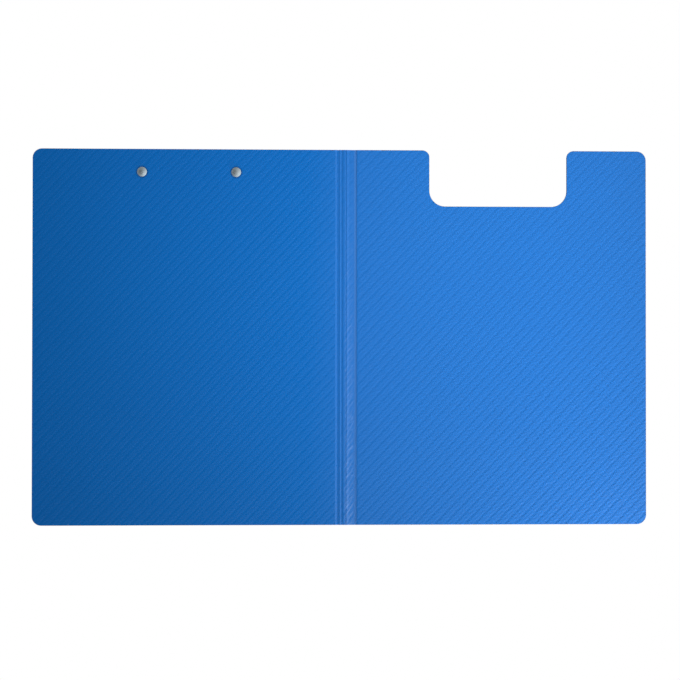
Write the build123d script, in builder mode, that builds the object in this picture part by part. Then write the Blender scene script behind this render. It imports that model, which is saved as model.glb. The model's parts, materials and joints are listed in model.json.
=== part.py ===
"""Clipboard folder: an A4 clipboard with a fold-over cover, laid open with its inner side up.

One scored plastic sheet makes the board, the spine and the cover. A spring clip is riveted to the board's
inner side near the top edge, and the cover has a notch that clears the clip when the folder is shut.

Frame: +X from the spine towards the board's free edge, +Y towards the top edge, +Z out of the inner side.
X and Y are centred on the open sheet, and Z is 0 at the lowest point of the rivet heads. Millimetres.
"""

import os
from math import asin, atan2, cos, degrees, hypot, radians, sin

from build123d import *

# Sheet
board_height = 320.0
back_width = 259.5
spine_width = 14.5
front_width = 250.0
sheet_thickness = 2.0
sheet_corner_radius = 8.0
cut_edge_bevel = 0.3

# Scores
web_width = 1.2
web_thickness = 0.4
relief_score_width = 1.2
relief_score_depth = 0.5
relief_score_offsets = (3.6, 6.6)

# Clip position
clip_offset = 127.0
rivet_spacing = 80.0
rivet_drop = 19.5

# Rivets
rivet_head_diameter = 8.2
rivet_head_height = 1.2
rivet_head_rim = 0.2
rivet_shank_diameter = 4.0
rivet_hole_clearance = 0.1
rivet_clinch_diameter = 6.0
rivet_clinch_height = 0.9
rivet_clinch_dimple = 0.5

# Clip base
base_steel = 0.9
base_front_reach = 14.0
base_rear_margin = 4.0
base_corner_radius = 4.0
base_ear_gap = 2.3
ear_foot_length = 15.0
ear_wall = 1.8
paper_stop_height = 2.6

# Hinge pin
pin_diameter = 3.0
pin_clearance = 0.05
pin_height = 8.0
pin_drop = 2.5
pin_head_diameter = 5.0
pin_head_height = 0.8
pin_head_taper = 30.0
pin_head_gap = 0.05

# Springs
spring_wire = 1.2
spring_wire_sides = 10
spring_bore_clearance = 0.3
spring_pitch = 1.75
spring_full_turns = 5
spring_leg = 12.0
spring_contact_gap = 0.05
spring_channel_gap = 3.2

# Lever
lever_steel = 0.9
lever_slope = 13.0
lever_coil_gap = 0.6
lever_side_gap = 0.2
lever_board_gap = 0.2
jaw_reach = 20.0
jaw_nose_setback = 1.6
jaw_nose_height = 7.3
jaw_shoulder_reach = 12.6
jaw_bend_radius = 2.4
thumb_reach = 19.0
thumb_curl_length = 1.9
thumb_curl_drop = 2.4
thumb_bend_radius = 1.2
thumb_corner_radius = 16.0
side_wall_rear_reach = 8.0
side_wall_rib = 2.0

# Jaw guards
guard_wall = 1.0
guard_fit_gap = 0.05
guard_length = 7.0
guard_top_length = 1.6

# Hanging tab
tab_steel = 0.8
tab_width = 20.0
tab_clearance = 0.1
tab_travel = 14.0
tab_end_margin = 0.8
tab_front_land = 2.4
tab_corner_radius = 6.0
tab_hole_diameter = 7.0
tab_hole_land = 3.1
tab_slot_land = 1.5
tab_grip_length = 9.0
tab_grip_radius = 0.5
tab_grip_inset = 1.6
tab_stop_diameter = 2.6
tab_stop_clearance = 0.3
channel_side_clearance = 0.7
channel_slope_run = 1.1

# Cover notch, around the clip when the folder is shut
notch_side_gap = 10.65
notch_end_gap = 4.5
notch_shift = 4.5
notch_mouth_radius = 6.0
notch_floor_radius = 13.5

# Levels of the sheet
outer_z = rivet_head_height
inner_z = outer_z + sheet_thickness
middle_z = outer_z + sheet_thickness / 2
top_y = board_height / 2

# Lines across the open sheet
back_edge_x = (back_width + spine_width + front_width) / 2
back_fold_x = back_edge_x - back_width
front_fold_x = back_fold_x - spine_width
front_edge_x = front_fold_x - front_width
score_half_width = web_width / 2 + (sheet_thickness - web_thickness) / 2

# Lines of the clip
clip_x = back_fold_x + clip_offset
rivet_y = top_y - rivet_drop
rivet_x = clip_x + rivet_spacing / 2
pin_y = rivet_y - pin_drop
pin_z = inner_z + pin_height
ear_inner = rivet_spacing / 2 + rivet_clinch_diameter / 2 + base_ear_gap
ear_outer = ear_inner + base_steel
side_inner = ear_outer + lever_side_gap
side_outer = side_inner + lever_steel
base_front_y = pin_y - base_front_reach
base_rear_y = top_y - base_rear_margin
pin_hole_radius = pin_diameter / 2 + pin_clearance

# Spring coil
coil_radius = pin_diameter / 2 + spring_bore_clearance + spring_wire / 2
coil_outer_radius = coil_radius + spring_wire / 2

# Lever path: the middle of the bent steel, seen from the clip's end
lever_rise = coil_outer_radius + lever_coil_gap + lever_steel / 2
slope_along = Vector(cos(radians(lever_slope)), sin(radians(lever_slope)))
slope_across = Vector(-slope_along.Y, slope_along.X)
lever_over_pin = Vector(pin_y, pin_z) + slope_across * lever_rise
jaw_tip = Vector(pin_y - jaw_reach, inner_z + lever_board_gap)
jaw_nose = Vector(pin_y - jaw_reach + jaw_nose_setback, inner_z + jaw_nose_height)
jaw_shoulder = lever_over_pin - slope_along * jaw_shoulder_reach
thumb_bend = lever_over_pin + slope_along * thumb_reach
thumb_tip = thumb_bend + Vector(thumb_curl_length, -thumb_curl_drop)
thumb_rear_y = thumb_tip.X + lever_steel / 2
side_boss_radius = pin_hole_radius + side_wall_rib
lever_path = (jaw_tip, jaw_nose, jaw_shoulder, thumb_bend, thumb_tip)
lever_radii = (jaw_bend_radius, jaw_bend_radius, thumb_bend_radius)

# Hanging tab, pushed in: its hole, its slot and the stop on the base plate that the slot runs along
tab_rear_y = top_y - tab_end_margin
tab_hole_y = tab_rear_y - tab_hole_land - tab_hole_diameter / 2
tab_slot_half = tab_stop_diameter / 2 + tab_stop_clearance
tab_stop_y = tab_hole_y - tab_hole_diameter / 2 - tab_slot_land - tab_slot_half
tab_slot_front_y = tab_stop_y - tab_travel - tab_slot_half
tab_front_y = tab_slot_front_y - tab_front_land
tab_bottom_z = inner_z + tab_clearance
channel_rise = tab_steel + 2 * tab_clearance
channel_half = tab_width / 2 + channel_side_clearance
spring_inset = channel_half + channel_slope_run + spring_channel_gap

# Notch in the cover, mirrored through the spine onto the clip
guard_outer = side_outer + guard_fit_gap + guard_wall
guard_front_y = jaw_tip.X - lever_steel / 2 - guard_fit_gap - guard_wall
notch_width = 2 * (guard_outer + notch_side_gap)
notch_depth = top_y - guard_front_y + notch_end_gap
notch_x = front_fold_x - clip_offset + notch_shift


def sheet_section(right_x, left_x, right_scored, left_scored, relief_offsets):
    """Draw the closed outline of a strip of the sheet between two lines, seen from the bottom edge.

    A scored side narrows to the web by two flanks of 45 degrees. The relief scores are shallow grooves in the
    outer face, measured from the right side.
    """
    right_inset = score_half_width if right_scored else 0.0
    left_inset = score_half_width if left_scored else 0.0
    outline = [(right_x - right_inset, outer_z)]
    for offset in relief_offsets:
        outline += [
            (right_x - offset + relief_score_width / 2, outer_z),
            (right_x - offset, outer_z + relief_score_depth),
            (right_x - offset - relief_score_width / 2, outer_z),
        ]
    outline.append((left_x + left_inset, outer_z))
    if left_scored:
        outline += [
            (left_x + web_width / 2, middle_z - web_thickness / 2),
            (left_x + web_width / 2, middle_z + web_thickness / 2),
        ]
    outline += [(left_x + left_inset, inner_z), (right_x - right_inset, inner_z)]
    if right_scored:
        outline += [
            (right_x - web_width / 2, middle_z + web_thickness / 2),
            (right_x - web_width / 2, middle_z - web_thickness / 2),
        ]
    return Polyline(*outline, close=True)


def cut_edges(panel):
    """Give the rims of a panel's outer and inner face, without the edges of its score."""
    rims = panel.faces().filter_by(Axis.Z).group_by(Axis.Z)
    edges = (rims[0] + rims[-1]).edges()
    return edges.filter_by(lambda edge: abs((edge @ 0.5).X - back_fold_x) > 2 * score_half_width).filter_by(
        lambda edge: abs((edge @ 0.5).X - front_fold_x) > 2 * score_half_width
    )


# Back panel: the board, with holes for the rivets
with BuildPart() as back_panel:
    with BuildSketch(Plane.XZ):
        with BuildLine():
            sheet_section(back_edge_x, back_fold_x, False, True, ())
        make_face()
    extrude(amount=board_height / 2, both=True)
    free_corners = back_panel.edges().filter_by(Axis.Z).group_by(Axis.X)[-1]
    fillet(free_corners, sheet_corner_radius)
    chamfer(cut_edges(back_panel), cut_edge_bevel)
    with Locations((clip_x, rivet_y, inner_z)):
        with GridLocations(rivet_spacing, 0, 2, 1):
            Hole(rivet_shank_diameter / 2 + rivet_hole_clearance)

# Spine strip: the strip between the fold lines, with relief scores in its outer face
with BuildPart() as spine_strip:
    with BuildSketch(Plane.XZ):
        with BuildLine():
            sheet_section(back_fold_x, front_fold_x, True, True, relief_score_offsets)
        make_face()
    extrude(amount=board_height / 2, both=True)

# Front panel: the cover, with the notch that clears the clip
with BuildPart() as front_panel:
    with BuildSketch(Plane.XZ):
        with BuildLine():
            sheet_section(front_fold_x, front_edge_x, True, False, ())
        make_face()
    extrude(amount=board_height / 2, both=True)
    free_corners = front_panel.edges().filter_by(Axis.Z).group_by(Axis.X)[0]
    fillet(free_corners, sheet_corner_radius)
    with BuildSketch(Plane.XY.offset(outer_z)):
        with Locations((notch_x, top_y - notch_depth)):
            Rectangle(notch_width, 2 * notch_depth, align=(Align.CENTER, Align.MIN))
    extrude(amount=sheet_thickness, mode=Mode.SUBTRACT)
    notch_search = notch_width / 2 + notch_mouth_radius / 2
    upright_edges = front_panel.edges().filter_by(Axis.Z)
    notch_edges = upright_edges.filter_by_position(Axis.X, notch_x - notch_search, notch_x + notch_search)
    fillet(notch_edges.group_by(Axis.Y)[0], notch_floor_radius)
    upright_edges = front_panel.edges().filter_by(Axis.Z)
    notch_edges = upright_edges.filter_by_position(Axis.X, notch_x - notch_search, notch_x + notch_search)
    fillet(notch_edges.group_by(Axis.Y)[-1], notch_mouth_radius)
    chamfer(cut_edges(front_panel), cut_edge_bevel)

# Score webs: the thin plastic left under each fold line, where the sheet bends
with BuildPart() as back_score_web:
    with BuildSketch(Plane.XY.offset(middle_z - web_thickness / 2)):
        with Locations((back_fold_x, 0)):
            Rectangle(web_width, board_height)
    extrude(amount=web_thickness)

with BuildPart() as front_score_web:
    with BuildSketch(Plane.XY.offset(middle_z - web_thickness / 2)):
        with Locations((front_fold_x, 0)):
            Rectangle(web_width, board_height)
    extrude(amount=web_thickness)

# Rivets: a domed head outside, a shank, and a clinched end with a dimple on the base plate
clinch_seat_z = inner_z + base_steel
clinch_top_z = clinch_seat_z + rivet_clinch_height
with BuildPart() as clip_rivets:
    with BuildSketch(Plane((rivet_x, rivet_y, 0), x_dir=(1, 0, 0), z_dir=(0, -1, 0))):
        with BuildLine():
            Line((0, clinch_top_z - rivet_clinch_dimple), (0, 0))
            head_rim = (rivet_head_diameter / 2, outer_z - rivet_head_rim)
            TangentArc((0, 0), head_rim, tangent=(1, 0))
            Polyline(
                head_rim,
                (rivet_head_diameter / 2, outer_z),
                (rivet_shank_diameter / 2, outer_z),
                (rivet_shank_diameter / 2, clinch_seat_z),
                (rivet_clinch_diameter / 2, clinch_seat_z),
                (rivet_clinch_diameter / 2 - rivet_clinch_height / 2, clinch_top_z),
                (rivet_clinch_diameter / 2 - rivet_clinch_height, clinch_top_z),
                (0, clinch_top_z - rivet_clinch_dimple),
            )
        make_face()
    revolve(axis=Axis((rivet_x, rivet_y, 0), (0, 0, 1)))
    mirror(about=Plane.YZ.offset(clip_x))

# Clip base: a bent plate with a raised channel for the tab, end ears for the pin and a paper stop
base_mid_z = inner_z + base_steel / 2
with BuildPart() as clip_base:
    with BuildSketch(Plane.XZ.offset(-base_front_y)):
        with BuildLine():
            Polyline(
                (clip_x - ear_outer, base_mid_z),
                (clip_x - channel_half - channel_slope_run, base_mid_z),
                (clip_x - channel_half, base_mid_z + channel_rise),
                (clip_x + channel_half, base_mid_z + channel_rise),
                (clip_x + channel_half + channel_slope_run, base_mid_z),
                (clip_x + ear_outer, base_mid_z),
            )
        trace(line_width=base_steel)
    extrude(amount=-(base_rear_y - base_front_y))
    plate_corners = clip_base.edges().filter_by(Axis.Z)
    fillet(plate_corners.group_by(Axis.X)[0] + plate_corners.group_by(Axis.X)[-1], base_corner_radius)
    with BuildSketch(Plane.XZ.offset(-base_front_y)) as stop_outline:
        with Locations((clip_x, inner_z)):
            Rectangle(
                2 * (ear_outer - base_corner_radius), paper_stop_height, align=(Align.CENTER, Align.MIN)
            )
        fillet(stop_outline.vertices().group_by(Axis.Y)[-1], paper_stop_height / 2)
        with Locations((clip_x, inner_z)):
            Rectangle(2 * channel_half, channel_rise, align=(Align.CENTER, Align.MIN), mode=Mode.SUBTRACT)
    extrude(amount=-base_steel)
    with BuildSketch(Plane.YZ.offset(clip_x - ear_outer)) as ear_outline:
        with BuildLine():
            ear_radius = pin_hole_radius + ear_wall
            foot_y = pin_y - ear_foot_length / 2
            Polyline(
                (pin_y - ear_radius, pin_z),
                (foot_y, inner_z + base_steel),
                (foot_y, inner_z),
                (foot_y + ear_foot_length, inner_z),
                (foot_y + ear_foot_length, inner_z + base_steel),
                (pin_y + ear_radius, pin_z),
            )
            ThreePointArc(
                (pin_y - ear_radius, pin_z), (pin_y, pin_z + ear_radius), (pin_y + ear_radius, pin_z)
            )
        make_face()
        with Locations((pin_y, pin_z)):
            Circle(pin_hole_radius, mode=Mode.SUBTRACT)
    extrude(amount=base_steel)
    extrude(ear_outline.sketch.moved(Location((2 * ear_outer - base_steel, 0, 0))), amount=base_steel)
    with Locations((clip_x, rivet_y, inner_z + base_steel)):
        with GridLocations(rivet_spacing, 0, 2, 1):
            Hole(rivet_shank_diameter / 2 + rivet_hole_clearance)
    with BuildSketch(Plane.XY.offset(tab_bottom_z)):
        with Locations((clip_x, tab_stop_y)):
            Circle(tab_stop_diameter / 2)
    extrude(amount=channel_rise)

# Hinge pin: headed at both ends outside the lever's side walls
pin_half = side_outer + pin_head_gap
with BuildPart() as hinge_pin:
    with BuildSketch(Plane.YZ.offset(clip_x)):
        with Locations((pin_y, pin_z)):
            Circle(pin_diameter / 2)
    extrude(amount=pin_half, both=True)
    for side in (-1, 1):
        with BuildSketch(Plane((clip_x + side * pin_half, pin_y, pin_z), z_dir=(side, 0, 0))):
            Circle(pin_head_diameter / 2)
        extrude(amount=pin_head_height, taper=pin_head_taper)

# Torsion springs: legs run back, one down to the base plate and one up to the lever
base_leg_height = pin_height - base_steel - spring_wire / 2 - spring_contact_gap
leg_span = hypot(coil_radius, spring_leg)
base_leg_angle = degrees(asin(base_leg_height / leg_span) - atan2(coil_radius, spring_leg))
lever_leg_height = lever_rise - lever_steel / 2 - spring_wire / 2 - spring_contact_gap
lever_leg_lift = degrees(asin(lever_leg_height / leg_span) - atan2(coil_radius, spring_leg))
lever_leg_angle = lever_slope + lever_leg_lift
coil_start_angle = -90 - base_leg_angle
coil_sweep = 360 * spring_full_turns - 180 - base_leg_angle - lever_leg_angle


def coil_point(turned):
    """Give the coil's middle line after so many degrees of winding, and its direction there."""
    angle = radians(coil_start_angle - turned)
    along = spring_pitch * turned / 360
    point = Vector(
        clip_x + spring_inset + along, pin_y + coil_radius * cos(angle), pin_z + coil_radius * sin(angle)
    )
    advance = spring_pitch / radians(360)
    direction = Vector(advance, coil_radius * sin(angle), -coil_radius * cos(angle)).normalized()
    return point, direction


def wire_biarc(start, start_direction, end, end_direction):
    """Draw two arcs that leave and arrive along the given directions and meet smoothly between."""
    chord = end - start
    square = 2 * (start_direction.dot(end_direction) - 1)
    linear = -2 * chord.dot(start_direction + end_direction)
    constant = chord.dot(chord)
    reach = (-linear - (linear**2 - 4 * square * constant) ** 0.5) / (2 * square)
    middle = (start + start_direction * reach + end - end_direction * reach) / 2
    middle_direction = (middle - start - start_direction * reach).normalized()
    TangentArc(start, middle, tangent=start_direction)
    TangentArc(middle, end, tangent=middle_direction)


coil_steps = 4 * spring_full_turns
with BuildPart() as right_spring:
    with BuildLine() as spring_path:
        point, direction = coil_point(0)
        Line(point - direction * spring_leg, point)
        for step in range(coil_steps):
            next_point, next_direction = coil_point(coil_sweep * (step + 1) / coil_steps)
            wire_biarc(point, direction, next_point, next_direction)
            point, direction = next_point, next_direction
        Line(point, point + direction * spring_leg)
    with BuildSketch(Plane(spring_path.line @ 0, z_dir=spring_path.line % 0)):
        RegularPolygon(spring_wire / 2, spring_wire_sides)
    sweep(path=spring_path.line, clean=False)

with BuildPart() as left_spring:
    add(right_spring.part.mirror(Plane.YZ.offset(clip_x)), clean=False)

# Clip lever: a bent plate with a jaw, a curled thumb edge and side walls that ride on the pin
with BuildPart() as clip_lever:
    with BuildSketch(Plane.YZ.offset(clip_x - side_outer)):
        with BuildLine():
            FilletPolyline(*lever_path, radius=lever_radii)
        trace(line_width=lever_steel)
    extrude(amount=2 * side_outer)
    with BuildSketch(Plane.YZ.offset(clip_x - side_outer)) as side_outline:
        with BuildLine():
            wall_rear = lever_over_pin + slope_along * side_wall_rear_reach
            FilletPolyline(
                jaw_tip, jaw_nose, jaw_shoulder, wall_rear, radius=(jaw_bend_radius, jaw_bend_radius)
            )
            Line(wall_rear, (pin_y + side_boss_radius, pin_z))
            RadiusArc((pin_y + side_boss_radius, pin_z), (pin_y, pin_z - side_boss_radius), side_boss_radius)
            Line((pin_y, pin_z - side_boss_radius), jaw_tip)
        make_face()
        with Locations((pin_y, pin_z)):
            Circle(pin_hole_radius, mode=Mode.SUBTRACT)
    extrude(amount=lever_steel)
    extrude(side_outline.sketch.moved(Location((2 * side_outer - lever_steel, 0, 0))), amount=lever_steel)
    with BuildSketch(Plane.XY.offset(inner_z)) as thumb_outline:
        with Locations((clip_x, jaw_tip.X - lever_steel)):
            Rectangle(2 * side_outer, thumb_rear_y - jaw_tip.X + lever_steel, align=(Align.CENTER, Align.MIN))
        fillet(thumb_outline.vertices().group_by(Axis.Y)[-1], thumb_corner_radius)
    extrude(amount=2 * pin_height + lever_rise, mode=Mode.INTERSECT)

# Jaw guards: a plastic skin over each end of the jaw, with a cap over the side wall
guard_path_end = jaw_shoulder + slope_along * guard_top_length
guard_rear_y = guard_path_end.X - guard_wall
guard_front_path = (jaw_tip, jaw_nose, jaw_shoulder, guard_path_end)
with BuildPart() as right_guard:
    with BuildSketch(Plane.YZ.offset(clip_x + guard_outer)):
        with BuildLine():
            FilletPolyline(*guard_front_path, radius=jaw_bend_radius)
        trace(line_width=lever_steel + 2 * (guard_fit_gap + guard_wall))
        with BuildLine():
            FilletPolyline(*guard_front_path, radius=jaw_bend_radius)
        trace(line_width=lever_steel + 2 * guard_fit_gap, mode=Mode.SUBTRACT)
        with BuildLine():
            FilletPolyline(*guard_front_path, radius=jaw_bend_radius)
            inner_corner = (guard_path_end.X, jaw_tip.Y - 2 * guard_wall)
            Line(guard_path_end, inner_corner)
            Line(inner_corner, (jaw_tip.X, jaw_tip.Y - 2 * guard_wall))
            Line((jaw_tip.X, jaw_tip.Y - 2 * guard_wall), jaw_tip)
        make_face(mode=Mode.SUBTRACT)
    extrude(amount=-guard_length)
    with BuildSketch(Plane.YZ.offset(clip_x + guard_outer)):
        with BuildLine():
            FilletPolyline(*guard_front_path, radius=jaw_bend_radius)
            Line(guard_path_end, (guard_path_end.X, pin_z - side_boss_radius))
            Line((guard_path_end.X, pin_z - side_boss_radius), jaw_tip)
        make_face()
        with BuildLine():
            FilletPolyline(*guard_front_path, radius=jaw_bend_radius)
        trace(line_width=lever_steel + 2 * (guard_fit_gap + guard_wall))
    extrude(amount=-guard_wall)
    with BuildSketch(Plane.XY.offset(jaw_tip.Y)):
        with Locations((clip_x + guard_outer, guard_front_y - guard_wall)):
            Rectangle(
                2 * guard_length, guard_rear_y - guard_front_y + guard_wall, align=(Align.CENTER, Align.MIN)
            )
    extrude(amount=2 * pin_height, mode=Mode.INTERSECT)

with BuildPart() as left_guard:
    mirror(right_guard.part, about=Plane.YZ.offset(clip_x))

# Hanging tab: a flat strip in the channel, with a hole, a slot for the stop and a grip ridge
with BuildPart() as hang_tab:
    with BuildSketch(Plane.XY.offset(tab_bottom_z)) as tab_outline:
        with Locations((clip_x, tab_front_y)):
            Rectangle(tab_width, tab_rear_y - tab_front_y, align=(Align.CENTER, Align.MIN))
        fillet(tab_outline.vertices().group_by(Axis.Y)[-1], tab_corner_radius)
        with Locations((clip_x, tab_hole_y)):
            Circle(tab_hole_diameter / 2, mode=Mode.SUBTRACT)
        with Locations((clip_x, tab_stop_y - tab_travel / 2)):
            SlotCenterToCenter(tab_travel, 2 * tab_slot_half, rotation=90, mode=Mode.SUBTRACT)
    extrude(amount=tab_steel)
    with BuildSketch(Plane.YZ.offset(clip_x)):
        with Locations((tab_rear_y - tab_grip_inset, tab_bottom_z + tab_steel)):
            Circle(tab_grip_radius)
        with Locations((tab_rear_y - tab_grip_inset, tab_bottom_z + tab_steel / 2)):
            Rectangle(2 * tab_grip_radius, tab_steel, mode=Mode.SUBTRACT)
    extrude(amount=tab_grip_length / 2, both=True)

# The least gap between turns of a spring, measured on points along its wire
gap_steps = 400
wire_line = spring_path.wires()[0]
wire_points = [wire_line.position_at(step / gap_steps) for step in range(gap_steps + 1)]
steps_apart = int(3 * spring_wire / wire_line.length * gap_steps)
least_gap = min(
    (wire_points[first] - wire_points[second]).length - spring_wire
    for first in range(gap_steps + 1)
    for second in range(first + steps_apart, gap_steps + 1)
)
print("Least gap between the turns of a spring, mm:", round(least_gap, 3))

os.makedirs("parts", exist_ok=True)
pieces = {
    "back_panel": back_panel,
    "back_score_web": back_score_web,
    "spine_strip": spine_strip,
    "front_score_web": front_score_web,
    "front_panel": front_panel,
    "clip_rivets": clip_rivets,
    "clip_base": clip_base,
    "clip_lever": clip_lever,
    "hinge_pin": hinge_pin,
    "left_spring": left_spring,
    "right_spring": right_spring,
    "left_guard": left_guard,
    "right_guard": right_guard,
    "hang_tab": hang_tab,
}
for name, piece in pieces.items():
    piece.part.label = name
    export_step(piece.part, f"parts/{name}.step")
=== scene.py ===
"""Clipboard folder: surfaces, small forms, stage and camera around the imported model.

The folder lies open with its inner side up. The camera stands below and looks up at the sheet's outer side.
All lengths are in metres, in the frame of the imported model.
"""

import json
import math

import bpy
from mathutils import Euler, Matrix, Vector


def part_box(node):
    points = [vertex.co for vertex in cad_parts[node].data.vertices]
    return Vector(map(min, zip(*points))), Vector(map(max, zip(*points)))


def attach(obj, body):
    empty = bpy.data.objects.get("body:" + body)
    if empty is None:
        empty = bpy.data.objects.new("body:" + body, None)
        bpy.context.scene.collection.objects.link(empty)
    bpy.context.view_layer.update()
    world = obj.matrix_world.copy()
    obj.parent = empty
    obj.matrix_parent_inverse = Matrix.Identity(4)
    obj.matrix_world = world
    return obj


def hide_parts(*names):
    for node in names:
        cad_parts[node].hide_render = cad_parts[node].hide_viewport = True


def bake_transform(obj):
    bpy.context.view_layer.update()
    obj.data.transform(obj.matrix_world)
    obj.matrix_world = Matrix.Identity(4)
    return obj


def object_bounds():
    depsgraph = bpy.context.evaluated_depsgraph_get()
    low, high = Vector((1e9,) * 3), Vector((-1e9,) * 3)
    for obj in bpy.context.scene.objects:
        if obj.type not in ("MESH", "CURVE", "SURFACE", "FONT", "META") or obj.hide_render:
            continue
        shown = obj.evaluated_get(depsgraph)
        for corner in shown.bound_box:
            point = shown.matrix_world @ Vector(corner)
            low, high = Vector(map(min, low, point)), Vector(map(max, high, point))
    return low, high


bl_info = {
    "name": "Clipboard folder",
    "version": (1, 0, 0),
    "blender": (4, 5, 0),
    "location": "3D View > Sidebar > Folder",
    "description": "Models a clipboard folder's surfaces around its packed frame, with a stage to view it on",
    "category": "Object",
}

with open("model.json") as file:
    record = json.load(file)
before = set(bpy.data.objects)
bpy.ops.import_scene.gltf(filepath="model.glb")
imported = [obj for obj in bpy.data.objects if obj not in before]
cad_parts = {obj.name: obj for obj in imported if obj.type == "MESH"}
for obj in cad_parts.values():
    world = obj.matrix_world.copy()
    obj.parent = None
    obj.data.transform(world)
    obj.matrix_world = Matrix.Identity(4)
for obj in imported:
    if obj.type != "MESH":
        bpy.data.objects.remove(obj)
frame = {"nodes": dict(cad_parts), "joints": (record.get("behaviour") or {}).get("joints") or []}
cad_low, cad_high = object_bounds()
joints = {joint["name"]: joint for joint in frame["joints"]}

MM = 0.001
MERGE_GAP = 2e-6
SLIVER = 1e-6
SMOOTH_ANGLE = math.radians(30)

# Sheet: its levels, its strips and its fold lines
board_low, board_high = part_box("back_panel")
cover_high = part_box("front_panel")[1]
spine_low, spine_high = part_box("spine_strip")
back_web_low, back_web_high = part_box("back_score_web")
front_web_low, front_web_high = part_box("front_score_web")
outer_z = board_low.z
inner_z = board_high.z
cover_fold_x = joints["cover_fold"]["pos_m"][0]
fold_flank = 0.8 * MM

# Rivets: their heads' radius and middles
rivets_low, rivets_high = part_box("clip_rivets")
head_radius = (rivets_high.y - rivets_low.y) / 2
rivet_y = (rivets_low.y + rivets_high.y) / 2
rivet_x = (rivets_low.x + head_radius, rivets_high.x - head_radius)

# Clip: its middle and hinge line
pin_point = Vector(joints["clip_open"]["pos_m"])
clip_x = pin_point.x
plate_thickness = 0.9 * MM


class FolderSheetSettings(bpy.types.PropertyGroup):
    """Sizes and colours of the plastic sheet."""

    rib_pitch: bpy.props.FloatProperty(
        name="Rib pitch", description="Distance between embossed ribs", default=6.2 * MM, unit="LENGTH"
    )
    rib_height: bpy.props.FloatProperty(
        name="Rib height", description="Height of the embossed ribs", default=0.1 * MM, unit="LENGTH"
    )
    rib_angle: bpy.props.FloatProperty(
        name="Rib angle",
        description="Slope of the ribs, seen on the outer side",
        default=math.radians(46),
        subtype="ANGLE",
    )
    band_fall: bpy.props.FloatProperty(
        name="Band fall",
        description="How far the spine's wide band leans in",
        default=0.75 * MM,
        unit="LENGTH",
    )
    shoulder: bpy.props.FloatProperty(
        name="Shoulder",
        description="Width of the pressed slope beside each fold line",
        default=1.3 * MM,
        unit="LENGTH",
    )
    shoulder_slope: bpy.props.FloatProperty(
        name="Shoulder slope",
        description="Slope beside the board's fold",
        default=math.radians(17),
        subtype="ANGLE",
    )
    cover_slope: bpy.props.FloatProperty(
        name="Cover slope",
        description="Slope beside the cover's fold",
        default=math.radians(7),
        subtype="ANGLE",
    )
    blue: bpy.props.FloatVectorProperty(
        name="Blue",
        description="Colour of the plastic",
        size=3,
        subtype="COLOR",
        default=(0.001, 0.172, 0.62),
    )
    # Painted sheen: this paler blue is blended in towards the cover, standing for the gloss that its outer
    # side catches
    cover_sheen_blue: bpy.props.FloatVectorProperty(
        name="Cover blue",
        description="Colour of the cover's outer side",
        size=3,
        subtype="COLOR",
        default=(0.013, 0.183, 0.63),
    )
    # Painted highlight: this paler blue stands for light that glints off the spine's band and along the
    # cover's fold line
    painted_highlight_blue: bpy.props.FloatVectorProperty(
        name="Stressed blue",
        description="Colour of the plastic where bending has whitened it",
        size=3,
        subtype="COLOR",
        default=(0.28, 0.50, 0.96),
    )
    # Painted shade: this darker blue gives the dark rim along the sheet's cut edges
    edge_blue: bpy.props.FloatVectorProperty(
        name="Cut edge",
        description="Colour of the cut edges",
        size=3,
        subtype="COLOR",
        default=(0.003, 0.08, 0.26),
    )


class FolderClipSettings(bpy.types.PropertyGroup):
    """Sizes and colours of the spring clip."""

    edge_round: bpy.props.FloatProperty(
        name="Edge round", description="Rounding of the stamped edges", default=0.12 * MM, unit="LENGTH"
    )
    panel_length: bpy.props.FloatProperty(
        name="Panel length",
        description="Length of the lever's pressed panel",
        default=66 * MM,
        unit="LENGTH",
    )
    panel_width: bpy.props.FloatProperty(
        name="Panel width",
        description="Width of the lever's pressed panel",
        default=12.5 * MM,
        unit="LENGTH",
    )
    panel_depth: bpy.props.FloatProperty(
        name="Panel depth",
        description="Depth of the lever's pressed panel",
        default=0.35 * MM,
        unit="LENGTH",
    )
    lever_slope: bpy.props.FloatProperty(
        name="Lever slope", description="Slope of the lever's top", default=math.radians(13), subtype="ANGLE"
    )
    wire: bpy.props.FloatProperty(
        name="Spring wire", description="Thickness of the spring wire", default=1.2 * MM, unit="LENGTH"
    )
    coil_radius: bpy.props.FloatProperty(
        name="Coil radius", description="Radius of the coils' middle line", default=2.4 * MM, unit="LENGTH"
    )
    coil_pitch: bpy.props.FloatProperty(
        name="Coil pitch",
        description="Distance between the turns of a coil",
        default=1.75 * MM,
        unit="LENGTH",
    )
    coil_inset: bpy.props.FloatProperty(
        name="Coil inset",
        description="From the clip's middle to a coil's start",
        default=15 * MM,
        unit="LENGTH",
    )
    spring_leg: bpy.props.FloatProperty(
        name="Spring leg",
        description="Length of a spring's straight legs",
        default=12 * MM,
        unit="LENGTH",
    )
    base_leg_angle: bpy.props.FloatProperty(
        name="Base leg angle",
        description="Fall of the leg that stands on the base plate",
        default=math.radians(20.49),
        subtype="ANGLE",
    )
    lever_leg_angle: bpy.props.FloatProperty(
        name="Lever leg angle",
        description="Rise of the leg that bears on the lever",
        default=math.radians(15.64),
        subtype="ANGLE",
    )
    # Painted reflection: this grey is darker than the clip's nickel, standing for the dark surroundings that
    # the rivet heads reflect
    rivet: bpy.props.FloatVectorProperty(
        name="Rivet",
        description="Colour of the plated rivets",
        size=3,
        subtype="COLOR",
        default=(0.42, 0.49, 0.53),
    )
    nickel: bpy.props.FloatVectorProperty(
        name="Nickel",
        description="Colour of the plated steel",
        size=3,
        subtype="COLOR",
        default=(0.66, 0.65, 0.62),
    )
    steel: bpy.props.FloatVectorProperty(
        name="Steel",
        description="Colour of the pin and the springs",
        size=3,
        subtype="COLOR",
        default=(0.40, 0.40, 0.41),
    )
    black: bpy.props.FloatVectorProperty(
        name="Guard black",
        description="Colour of the jaw guards",
        size=3,
        subtype="COLOR",
        default=(0.02, 0.02, 0.022),
    )


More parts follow.
